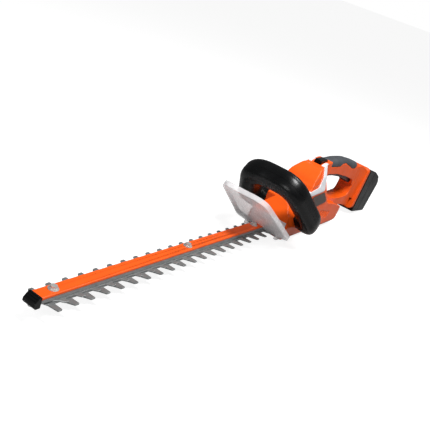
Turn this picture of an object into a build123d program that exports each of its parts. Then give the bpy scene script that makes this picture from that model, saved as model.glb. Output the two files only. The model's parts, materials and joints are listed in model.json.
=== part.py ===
from build123d import *
import math
import os

# Cordless hedge trimmer. Millimetres. +X runs forward to the blade tip, +Y is the tool's
# left side, +Z is up. The floor under the standing tool is Z = 0.

# Overall placing: the middle of the tool's length, moved to X = 0 when the parts are written.
LENGTH_MIDDLE_X = -20.15

# Blade assembly
TIP_FRONT_X = 549.5
TIP_REAR_X = 538.5
TIP_HALF_WIDTH = 10.4
TIP_BOTTOM_Z = 23.0
TOOTH_PITCH = 30.0
TOOTH_COUNT = 20
FIRST_TOOTH_X = 521.0
BLADE_FRONT_X = 527.0
BLADE_THICKNESS = 2.0
BLADE_HALF_WIDTH = 12.0
LOWER_BLADE_Z = 23.5
UPPER_BLADE_Z = 25.6
LONG_TOOTH_REACH = 27.5
SHORT_TOOTH_REACH = 19.5
SHORT_TOOTH_LEAD = -19.5
BLADE_BOLT_XS = (511.0, 213.0, -8.0)
BOLT_RADIUS = 3.0
BLADE_STROKE = 7.5
SLOT_HALF_WIDTH = 3.4
BAR_HALF_WIDTH = 9.7
BAR_BOTTOM_Z = 27.7
BAR_TOP_Z = 33.4
BAR_WALL = 1.4
COVER_TOP_Z = 37.4
BAR_REAR_X = -112.0

# Drive
GEAR_X = -150.0
MODULE = 1.0
GEAR_TEETH = 48
PINION_TEETH = 12
MOTOR_X = GEAR_X - MODULE * (GEAR_TEETH + PINION_TEETH) / 2
GEAR_BOTTOM_Z = 40.0
GEAR_THICKNESS = 8.0
GEAR_SHAFT_RADIUS = 4.0
ECCENTRIC_RADIUS = 13.0
YOKE_CLEARANCE = 1.8
PLATE_BOTTOM_Z = 52.0
PLATE_TOP_Z = 57.0
MOTOR_RADIUS = 23.0
MOTOR_BOTTOM_Z = 57.1
MOTOR_TOP_Z = 114.0
MOTOR_SHAFT_RADIUS = 2.5
RUNNING_CLEARANCE = 0.05

# Housing
WALL = 3.0
NOSE_FRONT_X = -66.0
NOSE_REAR_X = -140.0
BODY_HALF_WIDTH = 37.0
BEAM_HALF_WIDTH = 17.0
GRIP_THICKNESS = 3.0
PAN_FRONT_X = -104.0
PAN_REAR_X = -214.0
PAN_HALF_WIDTH = 32.0
PAN_TOP_Z = 15.0
STRIPE_THICKNESS = 1.2

# Front bail handle: a loop in a plane that leans forward
BAIL_FOOT = (-119.5, 0.0, 54.5)
BAIL_LEAN = 52.8
BAIL_HALF_DEPTH = 22.5
BAIL_HALF_THICKNESS = 18.5
BAIL_FOOT_Y = 33.0
BAIL_WALL = 2.8

# Guard: a clear shield that leans forward in front of the bail
GUARD_THICKNESS = 2.4
GUARD_LOW_X = -48.0
GUARD_LOW_Z = 22.0
GUARD_LEAN = 56.5
GUARD_HEIGHT = 172.0
GUARD_TOP_HALF = 45.0
GUARD_LOW_HALF = 60.0

# Battery mounting plane: its foot and its backward lean
REAR_FOOT = (-475.0, 0.0, 15.0)
REAR_LEAN = 10.2
REAR_PLATE_THICKNESS = 13.0
REAR_PLATE_HEIGHT = 107.0
REAR_PLATE_HALF_WIDTH = 29.5
BATTERY_DEPTH = 104.5
BATTERY_FOOT_DEPTH = 89.0
BATTERY_HEIGHT = 108.5
BATTERY_HALF_WIDTH = 31.0
BATTERY_FOOT = -5.0
BATTERY_HEEL = 6.5
BATTERY_SPLIT = 40.0
BATTERY_WALL = 2.6
BATTERY_SCREW_Y = 26.0
BATTERY_SCREW_HEIGHTS = (10.0, 98.0)
CELL_RADIUS = 9.05
CELL_LENGTH = 65.0
CELL_PITCH = 18.5

# Trigger
TRIGGER_PIVOT = (-262.0, 126.0)
TRIGGER_HALF_WIDTH = 9.0
TRIGGER_PIN_HALF = 14.5

PARTS = {}


def xz_face(points, radii):
    """Closed outline in the XZ plane as a face; radii is one value or one per corner."""
    outline = FilletPolyline(*points, radius=radii, close=True)
    return Plane.XZ * make_face(outline)


def side_prism(points, radii, half_width):
    """Side outline extruded the same distance to the left and the right."""
    return extrude(xz_face(points, radii), amount=half_width, both=True)


def cross_prism(points, radii, front_x, rear_x):
    """Cross-section outline in YZ, extruded from rear_x forward to front_x."""
    outline = make_face(FilletPolyline(*points, radius=radii, close=True))
    return extrude(Plane.YZ.offset(rear_x) * outline, amount=front_x - rear_x)


def mirrored(points):
    """Right-hand half of a cross-section, given from the bottom up, completed on the left."""
    return points + [(-y, z) for y, z in reversed(points)]


def block(low, high):
    """Box between two corners."""
    size = [b - a for a, b in zip(low, high)]
    middle = [(a + b) / 2 for a, b in zip(low, high)]
    return Pos(*middle) * Box(*size)


def disc(x, y, low_z, high_z, radius):
    """Upright cylinder."""
    return Pos(x, y, (low_z + high_z) / 2) * Cylinder(radius, high_z - low_z)


def ring(x, y, low_z, high_z, outer, inner):
    """Upright tube."""
    return disc(x, y, low_z, high_z, outer) - disc(x, y, low_z - 1, high_z + 1, inner)


def cross_pin(x, z, radius, half_length):
    """Pin along Y."""
    return Pos(x, 0, z) * Rot(90, 0, 0) * Cylinder(radius, 2 * half_length)


def rear_frame():
    """Battery mounting plane: local X forward, local Z up along the plane."""
    return Pos(*REAR_FOOT) * Rot(0, -REAR_LEAN, 0)


def save(name, *solids):
    """Keep a sub-part: one solid or a group of separate solids."""
    PARTS[name] = solids[0] if len(solids) == 1 else Compound(children=list(solids))


# ---------------------------------------------------------------- blade assembly

def tooth_row(side, count, reach, base, tip, lead):
    """Corner points of one side's teeth, from the tip of the blade to its rear."""
    points = []
    for index in range(count):
        tip_rear = FIRST_TOOTH_X - TOOTH_PITCH * index + lead - tip / 2
        points += [
            (min(tip_rear + base, BLADE_FRONT_X), side * BLADE_HALF_WIDTH),
            (tip_rear + tip, side * reach),
            (tip_rear, side * reach),
            (tip_rear, side * BLADE_HALF_WIDTH),
        ]
    return points


def blade(low_z, count, reach, base, tip, lead, yoke_side):
    """Toothed blade with bolt slots and, at its rear, the yoke that its eccentric drives."""
    near = tooth_row(1, count, reach, base, tip, lead)
    far = tooth_row(-1, count, reach, base, tip, lead)
    nose = [(BLADE_FRONT_X + 4, -5.0), (BLADE_FRONT_X + 4, 5.0)]
    tail_x = GEAR_X + 20
    tail = [(tail_x, BLADE_HALF_WIDTH), (tail_x, -BLADE_HALF_WIDTH)]
    outline = make_face(Polyline(*nose, *near, *tail, *reversed(far), close=True))
    yoke_x = ECCENTRIC_RADIUS + YOKE_CLEARANCE
    slot_low = -ECCENTRIC_RADIUS - 0.5
    slot_high = ECCENTRIC_RADIUS + BLADE_STROKE + 0.5
    slot_middle = yoke_side * (slot_low + slot_high) / 2
    yoke = Pos(GEAR_X, slot_middle) * RectangleRounded(2 * yoke_x + 14, slot_high - slot_low + 12, 8)
    yoke_slot = Pos(GEAR_X, slot_middle) * RectangleRounded(2 * yoke_x, slot_high - slot_low, 7)
    outline = outline + yoke - yoke_slot
    slot_length = 2 * (BLADE_STROKE + SLOT_HALF_WIDTH) + 1
    for bolt_x in BLADE_BOLT_XS:
        outline -= Pos(bolt_x, 0) * SlotOverall(slot_length, 2 * SLOT_HALF_WIDTH)
    return extrude(Plane.XY.offset(low_z) * outline, amount=BLADE_THICKNESS)


def guide_bar():
    """Downward-open channel that stiffens the blades."""
    front_x = TIP_FRONT_X - 8
    bar = block((BAR_REAR_X, -BAR_HALF_WIDTH, BAR_BOTTOM_Z), (front_x, BAR_HALF_WIDTH, BAR_TOP_Z))
    hollow_half = BAR_HALF_WIDTH - BAR_WALL
    for start, end in hollow_spans():
        bar -= block((start, -hollow_half, BAR_BOTTOM_Z - 1), (end, hollow_half, BAR_TOP_Z - BAR_WALL))
    return bar - bolt_holes()


def hollow_spans():
    """Stretches of the bar between its bolts, where the channel is hollow."""
    solid_half = 12.0
    xs = sorted(BLADE_BOLT_XS)
    spans = [(a + solid_half, b - solid_half) for a, b in zip(xs, xs[1:])]
    return [(BAR_REAR_X + 10, xs[0] - solid_half)] + spans


def bolt_holes():
    """Clearance holes for the blade bolts."""
    return [disc(x, 0, BAR_BOTTOM_Z - 2, COVER_TOP_Z + 2, BOLT_RADIUS) for x in BLADE_BOLT_XS]


def bar_cover():
    """Painted strip along the top of the guide bar."""
    low = (BAR_REAR_X + 6, -BAR_HALF_WIDTH - 0.3, BAR_TOP_Z)
    high = (TIP_REAR_X, BAR_HALF_WIDTH + 0.3, COVER_TOP_Z)
    cover = block(low, high)
    cover = chamfer(cover.edges().filter_by(Axis.X).group_by(Axis.Z)[-1], 0.9)
    for start, end in hollow_spans():
        cover -= block((start, -7.5, BAR_TOP_Z - 1), (end, 7.5, COVER_TOP_Z - 1.5))
    return cover - bolt_holes()


def blade_bolt(x):
    """Flanged bolt: shank, flange and hexagon head."""
    shank = disc(x, 0, LOWER_BLADE_Z - 4.6, COVER_TOP_Z + 1, BOLT_RADIUS)
    flange = disc(x, 0, COVER_TOP_Z + 1, COVER_TOP_Z + 2.2, 6.2)
    head_face = Plane.XY.offset(COVER_TOP_Z + 2.2) * Pos(x, 0) * RegularPolygon(5.0, 6)
    return shank + flange + extrude(head_face, amount=3.0)


def blade_washer(x):
    """Flat washer between bolt flange and bar cover."""
    return ring(x, 0, COVER_TOP_Z, COVER_TOP_Z + 1, 7.4, BOLT_RADIUS)


def blade_nut(x):
    """Flanged lock nut under the blades."""
    top_z = LOWER_BLADE_Z - 0.3
    flange = disc(x, 0, top_z - 1.0, top_z, 7.0)
    body = extrude(Plane.XY.offset(top_z - 4.3) * Pos(x, 0) * RegularPolygon(5.4, 6), amount=3.4)
    return flange + body - disc(x, 0, top_z - 6, top_z + 1, BOLT_RADIUS)


def tip_guard():
    """Ribbed cap over the end of the bar, with a chin below the blades."""
    side = [(TIP_REAR_X, TIP_BOTTOM_Z), (TIP_FRONT_X - 3, TIP_BOTTOM_Z), (TIP_FRONT_X, 26.5),
            (TIP_FRONT_X - 0.5, 31.0), (TIP_REAR_X + 3.5, 38.4), (TIP_REAR_X, 38.4)]
    cap = side_prism(side, (1, 2, 2, 2, 1, 1), TIP_HALF_WIDTH)
    for index in range(3):
        groove_x = TIP_REAR_X + 4.6 + 2.5 * index
        groove_z = 37.6 - 2.4 * index
        cap -= Pos(groove_x, 0, groove_z + 1.3) * Rot(0, 40, 0) * Box(1.2, 17, 4)
    pocket_low = (TIP_REAR_X - 1, -BAR_HALF_WIDTH, BAR_BOTTOM_Z)
    cap -= block(pocket_low, (TIP_FRONT_X - 8, BAR_HALF_WIDTH, BAR_TOP_Z))
    return cap - tip_screw()


def tip_screw():
    """Countersunk screw that holds the tip guard from below."""
    x = TIP_REAR_X + 6
    head = disc(x, 0, TIP_BOTTOM_Z, TIP_BOTTOM_Z + 1.6, 3.6)
    return head + disc(x, 0, TIP_BOTTOM_Z + 1.6, BAR_BOTTOM_Z, 1.9)


def blade_assembly():
    lower = blade(LOWER_BLADE_Z, TOOTH_COUNT, LONG_TOOTH_REACH, 17.0, 7.5, 0.0, -1)
    upper = blade(UPPER_BLADE_Z, TOOTH_COUNT - 1, SHORT_TOOTH_REACH, 13.0, 6.5, SHORT_TOOTH_LEAD, 1)
    save("lower_blade", lower)
    save("upper_blade", upper)
    save("guide_bar", guide_bar())
    save("bar_cover", bar_cover())
    save("blade_bolts", *[blade_bolt(x) for x in BLADE_BOLT_XS])
    save("blade_washers", *[blade_washer(x) for x in BLADE_BOLT_XS])
    save("blade_nuts", *[blade_nut(x) for x in BLADE_BOLT_XS])
    save("tip_guard", tip_guard())
    save("tip_guard_screw", tip_screw())


# ---------------------------------------------------------------- gears and motor

def gear_face(teeth, tip_height, root_depth, first_angle):
    """Spur gear outline with involute flanks, thinned for backlash."""
    pitch_radius = MODULE * teeth / 2
    base_radius = pitch_radius * math.cos(math.radians(20))
    root_radius = pitch_radius - root_depth
    tip_radius = pitch_radius + tip_height

    def involute(radius):
        angle = math.acos(min(1.0, base_radius / max(radius, base_radius)))
        return math.tan(angle) - angle

    backlash = 0.24
    half_pitch_angle = (math.pi * MODULE / 2 - backlash) / 2 / pitch_radius
    flank = [root_radius] + [
        max(root_radius, base_radius) + (tip_radius - max(root_radius, base_radius)) * step / 4
        for step in range(5)
    ]
    points = []
    for tooth in range(teeth):
        middle = first_angle + 2 * math.pi * tooth / teeth
        offsets = [half_pitch_angle + involute(pitch_radius) - involute(r) for r in flank]
        rising = [(r, middle - a) for r, a in zip(flank, offsets)]
        falling = [(r, middle + a) for r, a in reversed(list(zip(flank, offsets)))]
        points += [(r * math.cos(a), r * math.sin(a)) for r, a in rising + falling]
    distinct = [p for p, q in zip(points, points[1:] + points[:1]) if math.dist(p, q) > 0.001]
    return make_face(Polyline(*distinct, close=True))


def drive_gear():
    """Large spur gear with lightening holes."""
    face = Pos(GEAR_X, 0) * gear_face(GEAR_TEETH, 0.75, 1.3, 0.0)
    face -= Pos(GEAR_X, 0) * Circle(GEAR_SHAFT_RADIUS)
    for index in range(6):
        face -= Pos(GEAR_X, 0) * Rot(0, 0, 30 + 60 * index) * Pos(15, 0) * Circle(3.6)
    return extrude(Plane.XY.offset(GEAR_BOTTOM_Z) * face, amount=GEAR_THICKNESS)


def gear_shaft():
    """Shaft with the shoulder that carries the gear above the eccentrics."""
    shaft = disc(GEAR_X, 0, 7.0, PLATE_TOP_Z - 0.5, GEAR_SHAFT_RADIUS)
    return shaft + disc(GEAR_X, 0, UPPER_BLADE_Z + 2.4, GEAR_BOTTOM_Z, 7.5)


def eccentric(low_z, side):
    """Round eccentric cam, offset by the blade's half stroke."""
    cam = disc(GEAR_X, side * BLADE_STROKE, low_z, low_z + BLADE_THICKNESS + 0.3, ECCENTRIC_RADIUS)
    return cam - disc(GEAR_X, 0, low_z - 1, low_z + 5, GEAR_SHAFT_RADIUS)


def gear_bush(low_z, high_z):
    """Plain bush for the gear shaft."""
    return ring(GEAR_X, 0, low_z, high_z, 7.5, GEAR_SHAFT_RADIUS + RUNNING_CLEARANCE)


def gearbox_plate():
    """Plate across the housing that carries the motor and the gear shaft's upper bush."""
    plate = block((MOTOR_X - 28, -33, PLATE_BOTTOM_Z), (GEAR_X + 24, 33, PLATE_TOP_Z))
    plate = fillet(plate.edges().filter_by(Axis.Z), 6)
    plate -= disc(GEAR_X, 0, 40, 70, 7.5)
    return plate - disc(MOTOR_X, 0, 40, 70, 8.0)


def pinion():
    """Motor pinion, in mesh with the drive gear at rest."""
    face = gear_face(PINION_TEETH, 0.85, 1.25, math.pi / PINION_TEETH)
    face -= Circle(MOTOR_SHAFT_RADIUS)
    return extrude(Plane.XY.offset(GEAR_BOTTOM_Z - 0.5) * Pos(MOTOR_X, 0) * face, amount=9.5)


def armature():
    """Laminated armature core with winding slots."""
    core = disc(MOTOR_X, 0, 71, 97, 15.0)
    for index in range(10):
        slot = Pos(MOTOR_X, 0, 84) * Rot(0, 0, 36 * index) * Pos(12.5, 0, 0) * Box(7, 2.4, 40)
        core -= slot
    return core - disc(MOTOR_X, 0, 60, 120, MOTOR_SHAFT_RADIUS)


def fan():
    """Cooling fan: hub and straight blades under a disc."""
    hub_z = MOTOR_TOP_Z + 5.0
    wheel = disc(MOTOR_X, 0, hub_z, hub_z + 1.5, 19.0) + disc(MOTOR_X, 0, hub_z, hub_z + 7, 6.0)
    for index in range(9):
        wheel += Pos(MOTOR_X, 0, hub_z + 4.2) * Rot(0, 0, 40 * index) * Pos(12, 0, 0) * Box(13, 1.4, 5.6)
    return wheel - disc(MOTOR_X, 0, hub_z - 1, hub_z + 9, MOTOR_SHAFT_RADIUS)


def motor_can():
    """Steel can with cooling windows near its ends."""
    can = ring(MOTOR_X, 0, MOTOR_BOTTOM_Z + 4, MOTOR_TOP_Z - 4, MOTOR_RADIUS, MOTOR_RADIUS - 1.6)
    for index in range(4):
        turn = Rot(0, 0, 45 + 90 * index)
        can -= Pos(MOTOR_X, 0, MOTOR_BOTTOM_Z + 9) * turn * Pos(MOTOR_RADIUS, 0, 0) * Box(8, 12, 4)
    return can


def motor_end(low_z, high_z, bearing_low, bearing_high):
    """End cap of the motor with its bearing seat."""
    cap = disc(MOTOR_X, 0, low_z, high_z, MOTOR_RADIUS)
    return cap - disc(MOTOR_X, 0, bearing_low, bearing_high, 6.0) - disc(MOTOR_X, 0, low_z - 1, high_z + 1, 3.6)


def motor_bearing(low_z, high_z):
    """Sintered bearing for the motor shaft."""
    return ring(MOTOR_X, 0, low_z, high_z, 6.0, MOTOR_SHAFT_RADIUS + RUNNING_CLEARANCE)


def magnet(side):
    """Arc magnet against the can's wall."""
    shell = ring(MOTOR_X, 0, 68, 100, MOTOR_RADIUS - 1.6, 16.0)
    low_y, high_y = sorted((side * 8.0, side * 30.0))
    return shell & block((MOTOR_X - 30, low_y, 60), (MOTOR_X + 30, high_y, 120))


def drive_assembly():
    save("drive_gear", drive_gear())
    save("gear_shaft", gear_shaft())
    save("lower_eccentric", eccentric(LOWER_BLADE_Z - 0.25, -1))
    save("upper_eccentric", eccentric(UPPER_BLADE_Z, 1))
    save("gear_bushes", gear_bush(8.0, 18.0), gear_bush(PLATE_BOTTOM_Z - 2, PLATE_TOP_Z))
    save("gearbox_plate", gearbox_plate())
    save("pinion", pinion())
    save("motor_shaft", disc(MOTOR_X, 0, GEAR_BOTTOM_Z - 1, MOTOR_TOP_Z + 13, MOTOR_SHAFT_RADIUS))
    save("armature", armature())
    save("commutator", ring(MOTOR_X, 0, 99.5, 107, 8.0, MOTOR_SHAFT_RADIUS))
    save("cooling_fan", fan())
    save("motor_can", motor_can())
    lower_cap = motor_end(MOTOR_BOTTOM_Z, MOTOR_BOTTOM_Z + 4, MOTOR_BOTTOM_Z + 1, MOTOR_BOTTOM_Z + 5)
    upper_cap = motor_end(MOTOR_TOP_Z - 4, MOTOR_TOP_Z, MOTOR_TOP_Z - 5, MOTOR_TOP_Z - 1)
    save("motor_end_caps", lower_cap, upper_cap)
    lower_bearing = motor_bearing(MOTOR_BOTTOM_Z + 1, MOTOR_BOTTOM_Z + 5)
    save("motor_bearings", lower_bearing, motor_bearing(MOTOR_TOP_Z - 5, MOTOR_TOP_Z - 1))
    save("motor_magnets", magnet(1), magnet(-1))


# ---------------------------------------------------------------- housing

NOSE_SECTION = mirrored([(39.0, 14.0), (43.0, 22.0), (43.0, 42.0), (35.0, 57.0), (19.0, 77.0), (9.0, 82.0)])
NOSE_RADII = (4, 4, 6, 5, 8, 8, 8, 8, 5, 6, 4, 4)
BODY_SIDE = [(-102.0, 14.0), (-139.0, 0.0), (-322.0, 0.0), (-346.0, 18.0), (-350.0, 46.0),
             (-300.0, 60.0), (-276.0, 82.0), (-246.0, 112.0), (-248.0, 154.0), (-212.0, 151.0),
             (-180.0, 142.0), (-154.0, 128.0), (-134.0, 104.0), (-120.0, 82.0), (-102.0, 80.0)]
BODY_RADII = (3, 12, 18, 14, 8, 10, 10, 14, 2, 40, 40, 36, 30, 12, 3)
BODY_SECTION = mirrored([(25.0, 0.0), (37.0, 14.0), (38.0, 60.0), (36.5, 100.0), (30.0, 130.0),
                         (15.0, 156.0)])
BODY_SECTION_RADII = (6, 10, 40, 30, 22, 12, 12, 22, 30, 40, 10, 6)
UPPER_BEAM_SIDE = [(-232.0, 170.0), (-232.0, 127.0), (-254.0, 125.0), (-308.0, 120.0), (-369.0, 108.0),
                   (-421.0, 95.0), (-432.0, 80.0), (-497.0, 80.0), (-505.0, 170.0)]
UPPER_BEAM_RADII = (0, 0, 40, 90, 90, 8, 4, 0, 0)
RIDGE = [(-225.0, 153.0), (-295.0, 154.0), (-345.0, 150.5), (-402.0, 140.5), (-442.0, 130.0), (-520.0, 106.0)]
RIDGE_RADII = (150, 150, 150, 150)
LOWER_BEAM_SIDE = [(-290.0, 74.0), (-300.0, 40.0), (-350.0, 36.0), (-400.0, 34.0), (-452.0, 24.0),
                   (-470.0, 90.0), (-438.0, 90.0), (-430.0, 56.0), (-380.0, 54.0), (-310.0, 62.0)]
LOWER_BEAM_RADII = (2, 2, 40, 40, 2, 2, 10, 14, 60, 20)
LOWER_BEAM_HALF_WIDTH = 18.0
COLUMN_SIDE = [(-420.0, 30.0), (-438.0, 60.0), (-440.0, 90.0), (-430.0, 128.0), (-525.0, 128.0),
               (-505.0, 16.0), (-462.0, 17.0)]
COLUMN_PLAN = [(-415.0, 16.9), (-448.0, 18.0), (-468.0, 22.0), (-486.0, 29.5), (-530.0, 29.5)]
SHOULDER_SIDE = [(-190.0, 175.0), (-194.0, 132.0), (-226.0, 94.0), (-255.0, 68.0), (-300.0, 60.0),
                 (-365.0, 60.0), (-365.0, 175.0)]
SHOULDER_Y = 36.0
SHOULDER_SWEEP = 1.2


def under_ridge(half_width, drop, corner):
    """Long bar with a rounded top that follows the handle's ridge line, lowered by drop."""
    depth = 80.0
    middle_line = [(x, z - drop - depth / 2) for x, z in RIDGE]
    path = Plane.XZ * FilletPolyline(*middle_line, radius=RIDGE_RADII)
    start = Plane(origin=path @ 0, x_dir=(0, 1, 0), z_dir=path % 0)
    return sweep(start * RectangleRounded(2 * half_width, depth, corner), path=path)


def upper_beam(inset):
    """Upper handle beam, or its inside when inset is the wall thickness."""
    outline = xz_face(UPPER_BEAM_SIDE, UPPER_BEAM_RADII)
    if inset:
        outline = offset(outline, -inset, kind=Kind.INTERSECTION)
    prism = extrude(outline, amount=BEAM_HALF_WIDTH - inset, both=True)
    return prism & under_ridge(BEAM_HALF_WIDTH - inset, inset, 12.0 - inset)


def shoulder_cut(side, inset):
    """Wedge beside the handle that narrows the hump's rear down to the beam."""
    faces = []
    for y in (BEAM_HALF_WIDTH - inset - 0.1, 60.0):
        shift = SHOULDER_SWEEP * (y - SHOULDER_Y) + 1.5 * inset
        outline = Polyline(*[(x + shift, z - inset) for x, z in SHOULDER_SIDE], close=True)
        faces.append(Plane.XZ.offset(-side * y) * make_face(outline))
    return loft(faces)


def body_core(inset):
    """Motor hump and lower housing, or their inside."""
    outline = xz_face(BODY_SIDE, BODY_RADII)
    section = make_face(FilletPolyline(*BODY_SECTION, radius=BODY_SECTION_RADII, close=True))
    if inset:
        outline = offset(outline, -inset, kind=Kind.INTERSECTION)
        section = offset(section, -inset, kind=Kind.INTERSECTION)
    long_prism = extrude(outline, amount=BODY_HALF_WIDTH + 5, both=True)
    core = long_prism & extrude(Plane.YZ.offset(-360) * section, amount=300)
    return core - shoulder_cut(1, inset) - shoulder_cut(-1, inset)


def nose(inset):
    """Faceted gear case nose, or its inside."""
    section = make_face(FilletPolyline(*NOSE_SECTION, radius=NOSE_RADII, close=True))
    if inset:
        section = offset(section, -inset, kind=Kind.INTERSECTION)
    front_x = NOSE_FRONT_X - inset
    prism = extrude(Plane.YZ.offset(NOSE_REAR_X) * section, amount=front_x - NOSE_REAR_X)
    slope = Pos(NOSE_FRONT_X - inset, 0, 50) * Rot(0, -40, 0) * Pos(30, 0, 20) * Box(60, 120, 90)
    return prism - slope


def lower_beam(inset):
    """Lower handle beam, or its inside."""
    outline = xz_face(LOWER_BEAM_SIDE, LOWER_BEAM_RADII)
    if inset:
        outline = offset(outline, -inset, kind=Kind.INTERSECTION)
    return extrude(outline, amount=LOWER_BEAM_HALF_WIDTH - inset, both=True)


def rear_column(inset):
    """Column that widens from the handle beams to the battery plate, or its inside."""
    side = xz_face(COLUMN_SIDE, (6, 30, 20, 0, 0, 2, 6))
    plan = COLUMN_PLAN + [(x, -y) for x, y in reversed(COLUMN_PLAN)]
    widening = make_face(FilletPolyline(*plan, radius=(0, 30, 40, 8, 0, 0, 8, 40, 30, 0), close=True))
    if inset:
        side = offset(side, -inset, kind=Kind.INTERSECTION)
        widening = offset(widening, -inset, kind=Kind.INTERSECTION)
    column = extrude(side, amount=60, both=True) & extrude(widening, amount=160)
    return column & under_ridge(30.0 - inset, inset, 14.0 - inset)


def rear_plate(inset):
    """Plate that carries the battery, or its inside."""
    half = REAR_PLATE_HALF_WIDTH - inset
    height = REAR_PLATE_HEIGHT - 2 * inset
    outline = Pos(0, REAR_PLATE_HEIGHT / 2) * RectangleRounded(2 * half, height, 10 - inset)
    slab = extrude(Plane.YZ.offset(inset) * outline, amount=REAR_PLATE_THICKNESS - 2 * inset)
    return rear_frame() * slab


def rear_boss():
    """T-shaped rail on the plate's rear face that the battery slides on."""
    stem = block((-3.6, -18, 6), (0.5, 18, 92))
    head = block((-7.4, -24, 6), (-3.5, 24, 92))
    return rear_frame() * (stem + head)


def pan_region():
    """Space that the gear case cover fills in the housing's floor."""
    return block((PAN_REAR_X, -PAN_HALF_WIDTH, -1), (PAN_FRONT_X, PAN_HALF_WIDTH, PAN_TOP_Z))


def grip_region():
    """Stretch of the upper beam that the soft grip wraps."""
    outline = [(-246.0, 175.0), (-246.0, 142.0), (-302.0, 138.0), (-318.0, 144.0), (-336.0, 143.0),
               (-388.0, 126.0), (-408.0, 124.0), (-420.0, 132.0), (-420.0, 175.0)]
    return side_prism(outline, (0, 8, 10, 10, 12, 8, 8, 4, 0), 40)


def grip_layer():
    """Soft grip: the outer layer of the beam inside the grip region."""
    skin = upper_beam(0) - upper_beam(GRIP_THICKNESS)
    return skin & grip_region()


def lock_off_opening():
    """Slot in the hump's top for the lock-off button."""
    return block((-239.0, -8.8, 120.0), (-202.0, 8.8, 170.0))


def vent_slots():
    """Cooling slots low on both sides of the motor housing."""
    slots = []
    for index in range(5):
        for side in (1, -1):
            slot = Pos(-232 - 12 * index, side * 38, 44 - 2 * index) * Rot(0, -28, 0) * Box(4, 14, 17)
            slots.append(slot)
    return slots


def accent_face():
    """Silver stripe: down the hump's rear edge, then forward."""
    points = [(-245.0, 162.0), (-210.0, 146.0), (-203.0, 126.0), (-207.0, 104.0), (-199.0, 101.0),
              (-136.0, 97.0), (-132.0, 106.0), (-172.0, 111.0), (-180.0, 119.0), (-199.0, 147.0),
              (-222.0, 162.0)]
    return xz_face(points, (0, 4, 8, 2, 2, 2, 3, 6, 4, 4, 0))


def accent_strip(side):
    """Raised silver stripe lying on one side of the hump."""
    prism = extrude(accent_face(), amount=60, both=True)
    layer = (thick_core() - body_core(0)) & prism
    low_y, high_y = sorted((side * 0.4, side * 60.0))
    strip = layer & block((-260, low_y, 60), (-120, high_y, 152))
    return strip - lock_off_clearance()


def thick_core():
    """The hump grown by the stripe's thickness."""
    return body_core(-STRIPE_THICKNESS)


def lock_off_clearance():
    """Space around the lock-off button that the stripe leaves free."""
    return block((-243.0, -12.0, 120.0), (-198.0, 12.0, 170.0))


def label_plate(side):
    """Plain dark panel below the stripe."""
    points = [(-209.0, 98.0), (-150.0, 93.0), (-190.0, 69.0), (-238.0, 74.0)]
    prism = extrude(xz_face(points, 3), amount=60, both=True)
    layer = (thick_core() - body_core(0)) & prism
    low_y, high_y = sorted((side * 20.0, side * 60.0))
    return layer & block((-260, low_y, 50), (-130, high_y, 100))


def screw_places():
    """Positions (x, z) of the screws that join the two halves, and the half width there."""
    return [(-92.0, 66.0, 24.0), (-128.0, 100.0, 30.0), (-238.0, 88.0, 24.0), (-330.0, 26.0, 24.0),
            (-236.0, 20.0, 26.0), (-400.0, 46.0, 18.0), (-456.0, 80.0, 18.0), (-448.0, 116.0, 14.0)]


def housing_screw(x, z, half_width):
    """Pan-head screw that enters from the right half."""
    shank = Pos(x, 4, z) * Rot(90, 0, 0) * Cylinder(1.9, 2 * half_width - 12)
    head = Pos(x, 8.5 - half_width, z) * Rot(90, 0, 0) * Cylinder(3.6, 3.0)
    return shank + head


def screw_recess(x, z, half_width):
    """Open hole in the right half through which the screw's head is reached."""
    return Pos(x, -half_width - 13, z) * Rot(90, 0, 0) * Cylinder(3.9, 40.0)


def screw_boss(x, z, half_width):
    """Boss that holds a housing screw inside the shell."""
    return Pos(x, 0, z) * Rot(90, 0, 0) * Cylinder(5.6, 2 * half_width + 30)


def ahead_of_battery(distance):
    """Everything in front of the battery mounting plane, moved forward by distance."""
    return rear_frame() * block((distance, -100, -200), (700, 100, 400))


def housing_solid():
    """Outer skin minus the inside, with openings, bosses and the rail."""
    outer = nose(0) + body_core(0) + upper_beam(0) + lower_beam(0) + rear_column(0) + rear_plate(0)
    outer = outer & ahead_of_battery(0)
    inner = nose(WALL) + body_core(WALL) + upper_beam(GRIP_THICKNESS + 2) + lower_beam(WALL)
    inner += rear_column(WALL)
    shell = outer - (inner & ahead_of_battery(WALL)) - rear_plate(WALL)
    shell -= block((-130, -24, 8), (-90, 24, 70))
    for place in screw_places():
        shell += screw_boss(*place) & outer
    shell += rear_boss()
    shell -= grip_layer()
    shell -= pan_region()
    shell -= block((-100, -14.5, 22.5), (-60, 14.5, COVER_TOP_Z + 0.3))
    shell -= lock_off_opening()
    shell -= block((-434, -10.4, 60), (-246, 10.4, 138)) & trigger_slot()
    shell -= vent_slots()
    shell -= inner_clearances()
    for place in screw_places():
        shell -= [housing_screw(*place), screw_recess(*place)]
    shell -= guard_screws()
    return shell - cross_pin(TRIGGER_PIVOT[0], TRIGGER_PIVOT[1], 2.0, TRIGGER_PIN_HALF)


def trigger_slot():
    """Sweep of the trigger in the beam's underside."""
    outline = [(-248.0, 105.0), (-434.0, 70.0), (-436.0, 112.0), (-390.0, 130.0), (-330.0, 138.0),
               (-248.0, 139.0)]
    return side_prism(outline, 0, 10.4)


def inner_clearances():
    """Room for the drive inside the housing."""
    blades = block((-184, -30, 21), (-100, 30, 40))
    gears = disc(GEAR_X, 0, 38, 51.5, 28.5)
    plate = block((MOTOR_X - 28.5, -33.5, PLATE_BOTTOM_Z - 0.5), (GEAR_X + 24.5, 33.5, PLATE_TOP_Z + 0.5))
    motor = disc(MOTOR_X, 0, MOTOR_BOTTOM_Z - 0.2, MOTOR_TOP_Z + 1.5, MOTOR_RADIUS + 0.6)
    fan_room = disc(MOTOR_X, 0, MOTOR_TOP_Z, MOTOR_TOP_Z + 14, 20.5)
    return [blades, gears, plate, motor, fan_room]


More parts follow.
